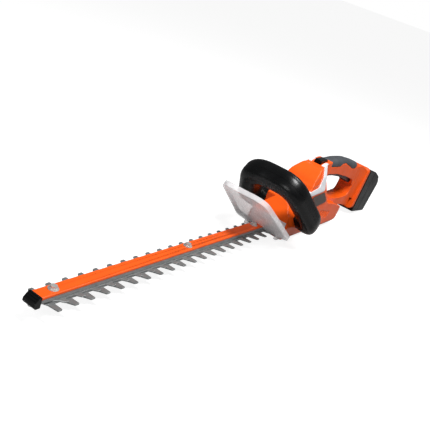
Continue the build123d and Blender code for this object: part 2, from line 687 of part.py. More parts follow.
def gear_case_cover():
    """Pan under the gears, with the flat foot and the lower bush's boss."""
    pan = body_core(0) & pan_region()
    inner_low = (PAN_REAR_X + WALL, -PAN_HALF_WIDTH + WALL, 3.5)
    pan -= block(inner_low, (PAN_FRONT_X - 26, PAN_HALF_WIDTH - WALL, PAN_TOP_Z + 1))
    pan += disc(GEAR_X, 0, 3, 18, 11.0)
    pan -= disc(GEAR_X, 0, 8, 19, 7.5)
    pan -= disc(GEAR_X, 0, 6.5, 19, GEAR_SHAFT_RADIUS + 0.5)
    return pan


def housing_assembly():
    solid = housing_solid()
    far = 700.0
    save("left_housing", solid & block((-far, 0.0, -10), (far, 200, 300)))
    save("right_housing", solid & block((-far, -200, -10), (far, 0.0, 300)))
    save("gear_case_cover", gear_case_cover())
    save("soft_grip", grip_layer())
    save("left_accent_strip", accent_strip(1))
    save("right_accent_strip", accent_strip(-1))
    save("left_label_plate", label_plate(1))
    save("right_label_plate", label_plate(-1))
    save("housing_screws", *[housing_screw(*place) for place in screw_places()])


# ---------------------------------------------------------------- bail handle and guard

def bail_plane():
    """Plane of the bail's loop; local X is the tool's left, local Y up along the loop."""
    lean = math.radians(BAIL_LEAN)
    return Plane(origin=BAIL_FOOT, x_dir=(0, 1, 0), z_dir=(math.cos(lean), 0, -math.sin(lean)))


def bail_sweep(inset):
    """Closed bar that follows the bail's loop."""
    start_y = BAIL_FOOT_Y
    corners = [(start_y, 4), (72.5, 0), (44.5, 129.4), (-44.5, 129.4), (-72.5, 0), (-start_y, 4)]
    path = bail_plane() * FilletPolyline(*corners, radius=(24, 34, 34, 24))
    start = Plane(origin=path @ 0, x_dir=bail_plane().z_dir, z_dir=path % 0)
    section = RectangleRounded(2 * (BAIL_HALF_DEPTH - inset), 2 * (BAIL_HALF_THICKNESS - inset), 13 - inset)
    return sweep(start * section, path=path)


def bail_half(side):
    """Front (+1) or rear (-1) shell of the bail."""
    big = 400.0
    shell = bail_sweep(0) - bail_sweep(BAIL_WALL)
    low, high = sorted((0.0, side * big))
    keep = extrude(bail_plane().offset(low) * Rectangle(big, 2 * big), amount=high - low)
    posts = [bail_post(y, v) for y, v in BAIL_SCREW_PLACES]
    shell = (shell + posts) & keep & bail_sweep(0)
    return shell - bail_screws() - nose(0) - body_core(0)


BAIL_SCREW_PLACES = ((64.0, 40.0), (-64.0, 40.0), (28.0, 129.0), (-28.0, 129.0))


def bail_post(y, v):
    """Screw post inside the bail."""
    return bail_plane() * Pos(y, v, 0) * Cylinder(4.6, 2 * BAIL_HALF_DEPTH)


def bail_screws():
    """Screws that join the two bail shells, entered from behind."""
    screws = []
    for y, v in BAIL_SCREW_PLACES:
        shank = Pos(y, v, 0) * Cylinder(1.8, 30)
        head = Pos(y, v, -16) * Cylinder(3.4, 3)
        screws.append(bail_plane() * (shank + head))
    return screws


def guard_plane():
    """Plane of the shield; local X is the tool's left, local Y up along the shield."""
    lean = math.radians(GUARD_LEAN)
    origin = (GUARD_LOW_X, 0, GUARD_LOW_Z)
    return Plane(origin=origin, x_dir=(0, 1, 0), z_dir=(math.cos(lean), 0, -math.sin(lean)))


def guard_shield():
    """Leaning shield, its mounting flange against the nose, and a rim along the top."""
    corners = [(GUARD_LOW_HALF, 0), (GUARD_TOP_HALF, GUARD_HEIGHT), (-GUARD_TOP_HALF, GUARD_HEIGHT),
               (-GUARD_LOW_HALF, 0)]
    outline = make_face(FilletPolyline(*corners, radius=(6, 14, 14, 6), close=True))
    sheet = extrude(guard_plane() * outline, amount=GUARD_THICKNESS)
    rim_outline = outline - Pos(0, -4.5) * outline
    rim = extrude(guard_plane() * rim_outline, amount=-2.5)
    flange_low = (NOSE_FRONT_X, -38, 16)
    flange = block(flange_low, (NOSE_FRONT_X + GUARD_THICKNESS, 38, 50))
    gussets = [block((NOSE_FRONT_X, low_y, 16), (-44, low_y + 6.5, 27)) for low_y in (-38, 31.5)]
    shield = sheet + rim + flange + gussets
    shield -= block((-80, -31, 17.5), (-2, 31, 28.5))
    shield -= block((-80, -13, 15), (20, 13, COVER_TOP_Z + 1))
    shield -= disc(BLADE_BOLT_XS[2], 0, 20, COVER_TOP_Z + 8, 8)
    return shield - guard_screws()


def guard_screws():
    """Screws that hold the guard's flange on the nose."""
    screws = []
    for side in (1, -1):
        head = Pos(NOSE_FRONT_X + GUARD_THICKNESS + 1, side * 26, 38) * Rot(0, 90, 0) * Cylinder(3.6, 2)
        shank = Pos(NOSE_FRONT_X - 2.0, side * 26, 38) * Rot(0, 90, 0) * Cylinder(1.9, 8.8)
        screws.append(head + shank)
    return screws


def bail_and_guard():
    save("bail_front_shell", bail_half(1))
    save("bail_rear_shell", bail_half(-1))
    save("bail_screws", *bail_screws())
    save("guard_shield", guard_shield())
    save("guard_screws", *guard_screws())


# ---------------------------------------------------------------- controls

def trigger():
    """Long finger lever under the grip, hinged at its front."""
    outline = [(-252.0, 118.0), (-300.0, 114.0), (-345.0, 106.5), (-395.0, 94.0), (-424.0, 83.0),
               (-431.0, 86.0), (-427.0, 98.0), (-385.0, 112.0), (-330.0, 124.0), (-270.0, 131.0),
               (-254.0, 131.0)]
    lever = side_prism(outline, (4, 60, 60, 20, 4, 4, 8, 60, 40, 4, 4), TRIGGER_HALF_WIDTH)
    return lever - cross_pin(TRIGGER_PIVOT[0], TRIGGER_PIVOT[1], 2.0 + RUNNING_CLEARANCE, 30)


def switch_body():
    """Switch above the trigger, held in the beam."""
    return block((-312.0, -8.0, 137.5), (-284.0, 8.0, 147.0))


def switch_plunger():
    """Plunger that the trigger lifts into the switch."""
    plunger = disc(-298.0, 0, 128.6, 141.5, 2.4)
    return plunger


def coil_spring(x, low_z, high_z, radius, wire, turns):
    """Compression spring as a stack of rings joined by a thin post-free helix."""
    pitch = (high_z - low_z - wire) / turns
    path = Helix(pitch=pitch, height=pitch * turns, radius=radius)
    start = Plane(origin=path @ 0, z_dir=path % 0)
    coil = sweep(start * Circle(wire / 2), path=path)
    return Pos(x, 0, low_z + wire / 2) * coil


def lock_off_button():
    """Safety button that is pressed before the trigger can be pulled."""
    cap = block((-236.0, -8.0, 148.0), (-205.0, 8.0, 156.5))
    cap = fillet(cap.edges().group_by(Axis.Z)[-1], 2.2)
    stem = disc(-221.0, 0, 141.0, 149.0, 2.4)
    return cap + stem


def lock_off_seat():
    """Ledge under the button that the spring stands on."""
    return block((-234.0, -12.0, 130.0), (-208.0, 12.0, 132.5)) - disc(-221.0, 0, 120, 140, 3.0)


def controls():
    save("trigger", trigger())
    save("trigger_pin", cross_pin(TRIGGER_PIVOT[0], TRIGGER_PIVOT[1], 2.0, TRIGGER_PIN_HALF))
    save("switch_body", switch_body() - disc(-298.0, 0, 130, 145.0, 2.6))
    save("switch_plunger", switch_plunger())
    save("lock_off_button", lock_off_button())
    save("lock_off_spring", coil_spring(-221.0, 132.5, 148.0, 3.8, 0.9, 5))
    save("lock_off_seat", lock_off_seat())


# ---------------------------------------------------------------- battery

def battery_outline(inset):
    """Side outline of the pack in the rear frame; local X forward, local Z up."""
    rear = -BATTERY_DEPTH + inset
    front = -0.4 - inset
    low = BATTERY_FOOT + inset
    high = BATTERY_FOOT + BATTERY_HEIGHT - inset
    points = [(front, low), (front, high), (-46.0, high), (-84.0, high - 8), (rear, high - 24),
              (inset - BATTERY_FOOT_DEPTH, low + BATTERY_HEEL)]
    return xz_face(points, (2, 4, 40, 20, 14, 5))


def battery_block(inset):
    """Whole pack as one solid, or its inside."""
    half = BATTERY_HALF_WIDTH - inset
    prism = extrude(battery_outline(inset), amount=half, both=True)
    return prism


def rail_pocket():
    """T-slot, open at the top, that takes the plate's rail."""
    top = BATTERY_FOOT + BATTERY_HEIGHT + 5
    stem = block((-4, -18.8, 4), (1, 18.8, top))
    head = block((-8.0, -24.8, 4), (-3.0, 24.8, top))
    blades = [block((-16, y - 1.4, 56), (-7, y + 1.4, top)) for y in CONTACT_YS]
    return [stem, head] + blades


CONTACT_YS = (-14.0, 0.0, 14.0)


def battery_case(front):
    """Rail-side or outer half of the pack's case."""
    split_x = -BATTERY_SPLIT
    shell = battery_block(0) - (battery_block(BATTERY_WALL) & block((-200, -60, -50), (-19, 60, 200)))
    if front:
        case = (shell & block((split_x, -60, -50), (10, 60, 200))) - rail_pocket()
    else:
        case = shell & block((-200, -60, -50), (split_x, 60, 200))
        pocket_high = (-BATTERY_FOOT_DEPTH + 12, 15, BATTERY_FOOT + 21.6)
        case -= block((-BATTERY_FOOT_DEPTH - 20, -15, BATTERY_FOOT + 8), pocket_high)
    return rear_frame() * case


def cells():
    """Twelve round cells lying along the pack's depth, above the latch."""
    group = []
    for column in (-1, 0, 1):
        for row in range(4):
            place = Pos(-54.2, CELL_PITCH * column, BATTERY_FOOT + 31.0 + CELL_PITCH * row)
            group.append(rear_frame() * place * Rot(0, 90, 0) * Cylinder(CELL_RADIUS, CELL_LENGTH))
    return group


def battery_board():
    """Circuit board between the rail side and the cells."""
    return rear_frame() * block((-20.9, -24, 16), (-19.3, 24, 90))


def terminal_blades():
    """Contact blades that stand out of the rail into the pack."""
    return [rear_frame() * block((-14, y - 0.5, 62), (-7.4, y + 0.5, 86)) for y in CONTACT_YS]


def release_button():
    """Release latch low on the pack's rear face."""
    rear_u = -BATTERY_FOOT_DEPTH - 4.5
    body = block((rear_u, -14.4, BATTERY_FOOT + 8.6), (rear_u + 14, 14.4, BATTERY_FOOT + 21.0))
    body = fillet(body.edges().filter_by(Axis.Z).group_by(Axis.X)[0], 1.0)
    return rear_frame() * body


def battery_screws():
    """Screws that join the two halves of the pack."""
    return [battery_screw(y, u) for y in (-BATTERY_SCREW_Y, BATTERY_SCREW_Y)
            for u in BATTERY_SCREW_HEIGHTS]


def battery_screw(y, u):
    """One screw along the pack's depth."""
    return rear_frame() * Pos(-BATTERY_SPLIT + 4, y, u) * Rot(0, 90, 0) * Cylinder(1.6, 24)


def battery_assembly():
    screws = battery_screws()
    save("battery_rail_case", battery_case(True) + battery_bosses(True) - screws)
    save("battery_outer_case", battery_case(False) + battery_bosses(False) - screws)
    save("battery_cells", *cells())
    save("battery_board", battery_board())
    save("battery_screws", *screws)
    save("battery_release", release_button())
    save("terminal_blades", *terminal_blades())


def battery_bosses(front):
    """Screw bosses in one half of the case."""
    low_x, high_x = (-BATTERY_SPLIT, -18.0) if front else (-BATTERY_SPLIT - 12, -BATTERY_SPLIT)
    middle_x = (low_x + high_x) / 2
    bosses = []
    for y in (-BATTERY_SCREW_Y, BATTERY_SCREW_Y):
        for u in BATTERY_SCREW_HEIGHTS:
            boss = Pos(middle_x, y, u) * Rot(0, 90, 0) * Cylinder(3.0, high_x - low_x)
            bosses.append(rear_frame() * boss)
    return bosses


def main():
    blade_assembly()
    drive_assembly()
    housing_assembly()
    bail_and_guard()
    controls()
    battery_assembly()
    os.makedirs("parts", exist_ok=True)
    for name, shape in PARTS.items():
        export_step(shape.moved(Pos(-LENGTH_MIDDLE_X, 0, 0)), f"parts/{name}.step")


main()
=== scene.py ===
import json
import math

import bmesh
import bpy
import numpy as np
from mathutils import Matrix, Vector

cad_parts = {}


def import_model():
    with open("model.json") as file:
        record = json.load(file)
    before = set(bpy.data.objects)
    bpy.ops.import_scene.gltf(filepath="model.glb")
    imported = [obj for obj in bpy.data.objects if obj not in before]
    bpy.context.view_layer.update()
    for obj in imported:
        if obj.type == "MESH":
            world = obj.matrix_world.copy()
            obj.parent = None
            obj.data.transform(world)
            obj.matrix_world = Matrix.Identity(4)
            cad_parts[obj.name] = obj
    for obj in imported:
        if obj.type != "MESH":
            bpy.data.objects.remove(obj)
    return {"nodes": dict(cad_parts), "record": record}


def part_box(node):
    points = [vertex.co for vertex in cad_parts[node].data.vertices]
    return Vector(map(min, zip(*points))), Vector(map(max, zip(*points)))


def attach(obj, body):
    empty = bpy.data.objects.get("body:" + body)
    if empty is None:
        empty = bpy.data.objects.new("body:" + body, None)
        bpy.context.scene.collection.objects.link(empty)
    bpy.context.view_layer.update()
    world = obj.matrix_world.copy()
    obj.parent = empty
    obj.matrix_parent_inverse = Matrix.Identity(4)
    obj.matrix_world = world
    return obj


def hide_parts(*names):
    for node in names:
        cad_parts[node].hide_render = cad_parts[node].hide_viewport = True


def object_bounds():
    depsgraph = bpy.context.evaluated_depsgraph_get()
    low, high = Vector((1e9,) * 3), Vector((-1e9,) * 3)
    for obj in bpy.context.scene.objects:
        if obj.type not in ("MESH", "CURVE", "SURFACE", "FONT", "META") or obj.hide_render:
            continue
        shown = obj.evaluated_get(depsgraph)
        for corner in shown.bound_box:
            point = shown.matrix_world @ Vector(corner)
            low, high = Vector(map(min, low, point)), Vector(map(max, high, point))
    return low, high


# Visual model of the cordless hedge trimmer. Metres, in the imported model's own frame:
# +X forward to the blade tip, +Y the tool's left, +Z up. Sizes written in millimetres are
# turned into metres by MM.

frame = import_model()
cad_low, cad_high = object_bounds()
NODES = frame["nodes"]
MM = 0.001

# Places are written from the gear shaft, which stands at GEAR_X in the design's own numbers.
GEAR_X = -150.0
shaft_low, shaft_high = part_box("gear_shaft")
SHIFT_X = ((shaft_low.x + shaft_high.x) / 2) / MM - GEAR_X


def at(x, y, z):
    """Row-frame point in metres from design millimetres."""
    return Vector(((x + SHIFT_X) * MM, y * MM, z * MM))


# ---------------------------------------------------------------- materials

class Graph:
    """Small helper for writing a material's nodes."""

    def __init__(self, name):
        self.material = bpy.data.materials.new(name)
        self.material.use_nodes = True
        self.tree = self.material.node_tree
        self.shader = self.tree.nodes["Principled BSDF"]
        self.coords = self.tree.nodes.new("ShaderNodeTexCoord").outputs["Object"]

    def node(self, kind, **inputs):
        made = self.tree.nodes.new(kind)
        for key, value in inputs.items():
            socket = made.inputs[key.replace("_", " ")]
            if isinstance(value, bpy.types.NodeSocket):
                self.tree.links.new(value, socket)
            else:
                socket.default_value = value
        return made

    def link(self, source, target):
        self.tree.links.new(source, target)

    def stretched(self, scale):
        """Object coordinates multiplied by a scale for each axis."""
        mapping = self.node("ShaderNodeMapping", Vector=self.coords)
        mapping.inputs["Scale"].default_value = scale
        return mapping.outputs["Vector"]

    def noise(self, scale, detail=3.0, vector=None, roughness=0.5):
        made = self.node("ShaderNodeTexNoise", Scale=scale, Detail=detail, Roughness=roughness)
        self.link(vector or self.coords, made.inputs["Vector"])
        return made.outputs["Fac"]

    def ramp(self, factor, stops):
        """Colour ramp; stops is a list of (position, colour)."""
        made = self.node("ShaderNodeValToRGB", Fac=factor)
        ramp = made.color_ramp
        ramp.elements[0].position, ramp.elements[0].color = stops[0][0], grey_or_colour(stops[0][1])
        ramp.elements[1].position, ramp.elements[1].color = stops[-1][0], grey_or_colour(stops[-1][1])
        for position, colour in stops[1:-1]:
            element = ramp.elements.new(position)
            element.color = grey_or_colour(colour)
        return made.outputs["Color"]

    def mix(self, factor, first, second, blend="MIX"):
        made = self.tree.nodes.new("ShaderNodeMix")
        made.data_type = "RGBA"
        made.blend_type = blend
        for key, value in (("Factor_Float", factor), ("A_Color", first), ("B_Color", second)):
            socket = next(s for s in made.inputs if s.identifier == key)
            if isinstance(value, bpy.types.NodeSocket):
                self.link(value, socket)
            elif key == "Factor_Float":
                socket.default_value = value
            else:
                socket.default_value = grey_or_colour(value)
        return next(s for s in made.outputs if s.identifier == "Result_Color")

    def bump(self, height, distance, strength=1.0, normal=None):
        made = self.node("ShaderNodeBump", Height=height, Distance=distance, Strength=strength)
        if normal:
            self.link(normal, made.inputs["Normal"])
        return made.outputs["Normal"]

    def worn_edges(self, amount):
        """Near 1 along the sharpest outer edges, 0 elsewhere, broken up by noise."""
        point = self.tree.nodes.new("ShaderNodeNewGeometry").outputs["Pointiness"]
        edge = self.ramp(point, [(0.52, 0.0), (0.60, 1.0)])
        patchy = self.ramp(self.noise(160.0, 4.0), [(0.45, 0.0), (0.70, amount)])
        return self.mix(1.0, edge, patchy, "MULTIPLY")


def grey_or_colour(value):
    """Four-channel colour from a grey number or three channels."""
    if isinstance(value, (int, float)):
        return (value, value, value, 1.0)
    return (*value[:3], 1.0)


def scaled(colour, factor):
    return tuple(channel * factor for channel in colour)


def moulded_plastic(name, colour, rough, grain=0.00006, grain_scale=1500.0, wear=0.25, shine=0.5,
                    waves=0.25):
    """Moulded plastic: faint colour drift, fine grain, handling gloss, pale worn edges."""
    g = Graph(name)
    drift = g.noise(28.0, 4.0)
    tone = g.ramp(drift, [(0.30, scaled(colour, 0.93)), (0.70, scaled(colour, 1.05))])
    speck = g.ramp(g.noise(900.0, 2.0), [(0.40, 0.96), (0.60, 1.03)])
    tone = g.mix(0.5, tone, g.mix(1.0, tone, speck, "MULTIPLY"))
    pale = tuple(min(1.0, channel * 1.15 + 0.05) for channel in colour)
    tone = g.mix(g.worn_edges(wear), tone, pale)
    g.link(tone, g.shader.inputs["Base Color"])
    smear = g.ramp(g.noise(45.0, 5.0, roughness=0.65), [(0.30, rough - 0.05), (0.72, rough + 0.07)])
    g.link(smear, g.shader.inputs["Roughness"])
    grain_height = g.noise(grain_scale, 2.0)
    waviness = g.bump(g.noise(60.0, 2.0), 0.00025, waves)
    g.link(g.bump(grain_height, grain, 0.6, waviness), g.shader.inputs["Normal"])
    g.shader.inputs["Specular IOR Level"].default_value = shine
    return g.material


def steel(name, colour, rough, stretch=(4.0, 900.0, 900.0), scratch=0.00002, stain=0.3, metal=1.0):
    """Ground steel: fine grinding lines and dull spots."""
    g = Graph(name)
    lines = g.noise(1.0, 3.0, g.stretched(stretch), 0.6)
    tone = g.ramp(lines, [(0.25, scaled(colour, 0.86)), (0.75, scaled(colour, 1.06))])
    spots = g.ramp(g.noise(70.0, 6.0, roughness=0.7), [(0.52, 0.0), (0.75, stain)])
    tone = g.mix(spots, tone, scaled(colour, 0.55))
    g.link(tone, g.shader.inputs["Base Color"])
    rough_map = g.ramp(g.noise(90.0, 4.0), [(0.3, rough - 0.06), (0.7, rough + 0.10)])
    g.link(rough_map, g.shader.inputs["Roughness"])
    g.link(g.bump(lines, scratch, 0.7), g.shader.inputs["Normal"])
    g.shader.inputs["Metallic"].default_value = metal
    return g.material


def soft_rubber():
    """Soft overmould: matt, with a fine pebble texture and dusty high spots."""
    g = Graph("soft_rubber")
    colour = (0.050, 0.056, 0.064)
    dust = g.ramp(g.noise(35.0, 5.0), [(0.40, scaled(colour, 0.85)), (0.75, scaled(colour, 1.35))])
    tone = g.mix(g.worn_edges(0.5), dust, scaled(colour, 2.2))
    g.link(tone, g.shader.inputs["Base Color"])
    pebble = g.node("ShaderNodeTexVoronoi", Scale=900.0, Vector=g.coords)
    g.link(g.bump(pebble.outputs["Distance"], 0.00012, 0.7), g.shader.inputs["Normal"])
    rough = g.ramp(g.noise(60.0, 3.0), [(0.3, 0.56), (0.7, 0.70)])
    g.link(rough, g.shader.inputs["Roughness"])
    return g.material


def silver_paint():
    """Silver painted plastic: fine metallic flake under a satin coat."""
    g = Graph("silver_paint")
    flake = g.node("ShaderNodeTexVoronoi", Scale=2600.0, Vector=g.coords)
    tone = g.ramp(flake.outputs["Distance"], [(0.0, (0.86, 0.86, 0.89)), (0.8, (0.74, 0.74, 0.77))])
    tone = g.mix(g.worn_edges(0.3), tone, (0.80, 0.80, 0.80))
    g.link(tone, g.shader.inputs["Base Color"])
    rough = g.ramp(g.noise(50.0, 4.0), [(0.3, 0.30), (0.7, 0.42)])
    g.link(rough, g.shader.inputs["Roughness"])
    g.link(g.bump(g.noise(1200.0, 2.0), 0.00003, 0.5), g.shader.inputs["Normal"])
    g.shader.inputs["Metallic"].default_value = 0.15
    return g.material


def cloudy_plastic():
    """Clear plastic clouded by fine scratches."""
    g = Graph("cloudy_plastic")
    haze = g.noise(22.0, 5.0, roughness=0.6)
    tone = g.ramp(haze, [(0.30, (0.90, 0.885, 0.90)), (0.72, (0.95, 0.935, 0.945))])
    g.link(tone, g.shader.inputs["Base Color"])
    cover = g.ramp(haze, [(0.30, 0.50), (0.75, 0.60)])
    g.link(cover, g.shader.inputs["Alpha"])
    scratches = g.noise(1.0, 3.0, g.stretched((60.0, 900.0, 60.0)), 0.7)
    g.link(g.ramp(scratches, [(0.3, 0.16), (0.7, 0.34)]), g.shader.inputs["Roughness"])
    g.link(g.bump(scratches, 0.00003, 0.5), g.shader.inputs["Normal"])
    g.shader.inputs["Specular IOR Level"].default_value = 0.6
    return g.material


def wound_copper():
    """Copper with dark lines between its segments."""
    g = Graph("copper")
    bars = g.noise(1.0, 2.0, g.stretched((900.0, 900.0, 20.0)))
    tone = g.ramp(bars, [(0.35, (0.30, 0.13, 0.06)), (0.60, (0.72, 0.38, 0.20))])
    g.link(tone, g.shader.inputs["Base Color"])
    g.link(g.ramp(g.noise(200.0, 3.0), [(0.3, 0.25), (0.7, 0.45)]), g.shader.inputs["Roughness"])
    g.link(g.bump(bars, 0.00004, 0.6), g.shader.inputs["Normal"])
    g.shader.inputs["Metallic"].default_value = 1.0
    return g.material


ORANGE = (0.84, 0.098, 0.006)
FINISHES = {
    "orange_plastic": moulded_plastic("orange_plastic", ORANGE, 0.33, wear=0.05, shine=0.28),
    "soft_grip": soft_rubber(),
    "silver_plastic": silver_paint(),
    "dark_panel": moulded_plastic("dark_panel", (0.055, 0.035, 0.028), 0.42),
    "screw_steel": steel("screw_steel", (0.62, 0.62, 0.60), 0.30, (300.0, 300.0, 300.0), stain=0.15,
                         metal=0.6),
    "black_plastic": moulded_plastic("black_plastic", (0.003, 0.0033, 0.0036), 0.27, wear=0.03,
                                     shine=0.26, waves=0.04),
    "clear_plastic": cloudy_plastic(),
    "bar_steel": steel("bar_steel", (0.40, 0.40, 0.40), 0.36, metal=0.7),
    "bronze": steel("bronze", (0.55, 0.36, 0.16), 0.40, (400.0, 400.0, 400.0)),
    "cast_alloy": steel("cast_alloy", (0.60, 0.60, 0.61), 0.50, (500.0, 500.0, 500.0), 0.00006),
    "can_steel": steel("can_steel", (0.45, 0.46, 0.47), 0.35, (900.0, 900.0, 6.0)),
    "magnet": moulded_plastic("magnet", (0.06, 0.06, 0.065), 0.55, 0.0001),
    "spring_steel": steel("spring_steel", (0.60, 0.60, 0.60), 0.28, (300.0, 300.0, 300.0)),
    "brass": steel("brass", (0.72, 0.52, 0.20), 0.28),
    "lamination": steel("lamination", (0.34, 0.34, 0.35), 0.40, (6.0, 6.0, 1500.0), 0.00008),
    "copper": wound_copper(),
    "gear_steel": steel("gear_steel", (0.42, 0.42, 0.43), 0.34, (700.0, 700.0, 30.0)),
    "blade_steel": steel("blade_steel", (0.26, 0.27, 0.27), 0.38, metal=0.6),
    "trigger_plastic": moulded_plastic("trigger_plastic", (0.016, 0.017, 0.019), 0.40, wear=0.2),
    "charcoal_plastic": moulded_plastic("charcoal_plastic", (0.004, 0.0043, 0.0046), 0.34, 0.0001, 1100.0,
                                        wear=0.10, shine=0.18, waves=0.06),
    "grey_plastic": moulded_plastic("grey_plastic", (0.46, 0.48, 0.50), 0.38),
    "cell_wrap": moulded_plastic("cell_wrap", (0.05, 0.20, 0.45), 0.30),
    "circuit_board": moulded_plastic("circuit_board", (0.02, 0.15, 0.06), 0.40),
}
NODE_SLOTS = {entry["node"]: entry["material_slot"] for entry in frame["record"]["subparts"]}


def dress(obj, slot_name):
    """Gives a piece one of the finishes above."""
    obj.data.materials.clear()
    obj.data.materials.append(FINISHES[slot_name])


# ---------------------------------------------------------------- mesh helpers

WELD_DISTANCE = 0.00001
SOFTENING = 0.5
HOUSING_VOXEL = 0.0010
EDGE_ANGLE = math.radians(38.0)
PIECE_ANGLE = math.radians(35.0)


def new_piece(name, body, slot_name, verts, faces, *replaced):
    """Mesh object with a finish, riding on a body and standing for CAD nodes."""
    mesh = bpy.data.meshes.new(name)
    mesh.from_pydata([tuple(v) for v in verts], [], faces)
    mesh.validate()
    obj = bpy.data.objects.new(name, mesh)
    bpy.context.scene.collection.objects.link(obj)
    return settle(obj, body, slot_name, *replaced)


def settle(obj, body, slot_name, *replaced):
    """Finish, body, slot and replaced nodes of a piece."""
    dress(obj, slot_name)
    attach(obj, body)
    if replaced:
        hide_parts(*replaced)
    return obj


def smooth(obj, angle=35.0):
    """Smooth shading that keeps edges sharper than the angle."""
    obj.data.shade_smooth()
    obj.data.set_sharp_from_angle(angle=math.radians(angle))
    return obj


def applied(obj):
    """Turns the object's modifiers into its mesh."""
    graph = bpy.context.evaluated_depsgraph_get()
    mesh = bpy.data.meshes.new_from_object(obj.evaluated_get(graph))
    obj.modifiers.clear()
    obj.data = mesh
    return obj


def copy_of(name, *nodes):
    """One object with welded copies of CAD nodes' meshes."""
    joined = bmesh.new()
    for node in nodes:
        joined.from_mesh(NODES[node].data)
    bmesh.ops.remove_doubles(joined, verts=joined.verts, dist=WELD_DISTANCE)
    mesh = bpy.data.meshes.new(name)
    joined.to_mesh(mesh)
    joined.free()
    obj = bpy.data.objects.new(name, mesh)
    bpy.context.scene.collection.objects.link(obj)
    return obj


def rounded(obj, voxel, repeat):
    """Rebuilds the mesh in even quads and softens its edges."""
    remesh = obj.modifiers.new("even", "REMESH")
    remesh.mode = "VOXEL"
    remesh.voxel_size = voxel
    applied(obj)
    soften = obj.modifiers.new("soften", "SMOOTH")
    soften.factor = SOFTENING
    soften.iterations = repeat
    applied(obj)
    obj.data.shade_smooth()
    return obj


def edge_rounding(node, width):
    """Small rounded edges on a CAD node that stays shown; blades get one flat ground bevel."""
    obj = NODES[node]
    weld = obj.modifiers.new("weld", "WELD")
    weld.merge_threshold = WELD_DISTANCE
    bevel = obj.modifiers.new("edges", "BEVEL")
    bevel.width = width
    bevel.segments = 1 if node.endswith("_blade") else 2
    bevel.limit_method = "ANGLE"
    bevel.angle_limit = EDGE_ANGLE


ARC_STEPS = 10


def rounded_path(corners, radii, closed=False):
    """Points along a polyline whose corners are arcs, as numpy vectors."""
    corners = [np.array(c, float) for c in corners]
    count = len(corners)
    points = []
    for index, corner in enumerate(corners):
        radius = radii[index]
        if radius <= 0 or (not closed and index in (0, count - 1)):
            points.append(corner)
            continue
        before = corners[index - 1] - corner
        after = corners[(index + 1) % count] - corner
        before /= np.linalg.norm(before)
        after /= np.linalg.norm(after)
        half = math.acos(max(-1.0, min(1.0, float(before @ after)))) / 2
        bisector = before + after
        bisector /= np.linalg.norm(bisector)
        centre = corner + bisector * radius / math.sin(half)
        start = corner + before * radius / math.tan(half) - centre
        end = corner + after * radius / math.tan(half) - centre
        sweep = math.pi - 2 * half
        for step in range(ARC_STEPS + 1):
            share = step / ARC_STEPS
            blend = math.sin((1 - share) * sweep) * start + math.sin(share * sweep) * end
            points.append(centre + blend / math.sin(sweep))
    return points


def resampled(points, spacing, closed=False):
    """Even points along a path."""
    if closed:
        points = points + [points[0]]
    points = np.array(points)
    lengths = np.r_[0, np.cumsum(np.linalg.norm(np.diff(points, axis=0), axis=1))]
    count = max(2, int(round(lengths[-1] / spacing)))
    where = np.linspace(0, lengths[-1], count + 1)
    made = np.stack([np.interp(where, lengths, points[:, i]) for i in range(points.shape[1])], 1)
    return made[:-1] if closed else made


def grid_faces(rows, columns):
    """Quads that join rows of vertices, each row a closed ring."""
    faces = []
    for r in range(rows - 1):
        for c in range(columns):
            a = r * columns + c
            b = r * columns + (c + 1) % columns
            below = (r + 1) * columns
            faces.append((a, b, below + (c + 1) % columns, below + c))
    return faces


# ---------------------------------------------------------------- front bail handle

BAIL_FOOT = (-125.5, 54.8)
BAIL_LEAN = math.radians(52.8)
BAIL_DEPTH = 22.6
BAIL_HALF_WIDTH = 19.6
BAIL_BOW = 16.2
BAIL_SQUARENESS = 0.72
BAIL_SEAM_GAP = 0.3
BAIL_SEAM_STEP = 0.5
BAIL_PROFILE_STEPS = 28
BAIL_SPACING = 2.2
BAIL_CORNERS = [(34.0, 4.0), (66.2, 0.0), (70.2, 20.5), (44.0, 129.4),
                (-44.0, 129.4), (-70.2, 20.5), (-66.2, 0.0), (-34.0, 4.0)]
BAIL_RADII = (0, 16, 40, 34, 34, 40, 16, 0)


def bail_point(y, v, n):
    """Point at y across, v up the loop's plane and n out of it to the front."""
    bow = BAIL_BOW * (abs(y) / 80.0) ** 2
    x = BAIL_FOOT[0] + v * math.sin(BAIL_LEAN) + n * math.cos(BAIL_LEAN) + bow
    z = BAIL_FOOT[1] + v * math.cos(BAIL_LEAN) - n * math.sin(BAIL_LEAN)
    return at(x, y, z)


def bail_profile(front):
    """Half cross-section of the bail: in-plane offset and offset along the plane's normal."""
    side = 1.0 if front else -1.0
    step_back = 0.0 if front else BAIL_SEAM_STEP
    points = []
    for step in range(BAIL_PROFILE_STEPS + 1):
        angle = math.pi * step / BAIL_PROFILE_STEPS
        across = math.copysign(abs(math.cos(angle)) ** BAIL_SQUARENESS, math.cos(angle))
        along = math.sin(angle) ** BAIL_SQUARENESS
        depth = BAIL_SEAM_GAP + along * (BAIL_DEPTH - BAIL_SEAM_GAP)
        points.append((across * (BAIL_HALF_WIDTH - step_back), side * depth))
    first, last = points[0], points[-1]
    return points + [(last[0] + 1.0, last[1]), (first[0] - 1.0, first[1])]


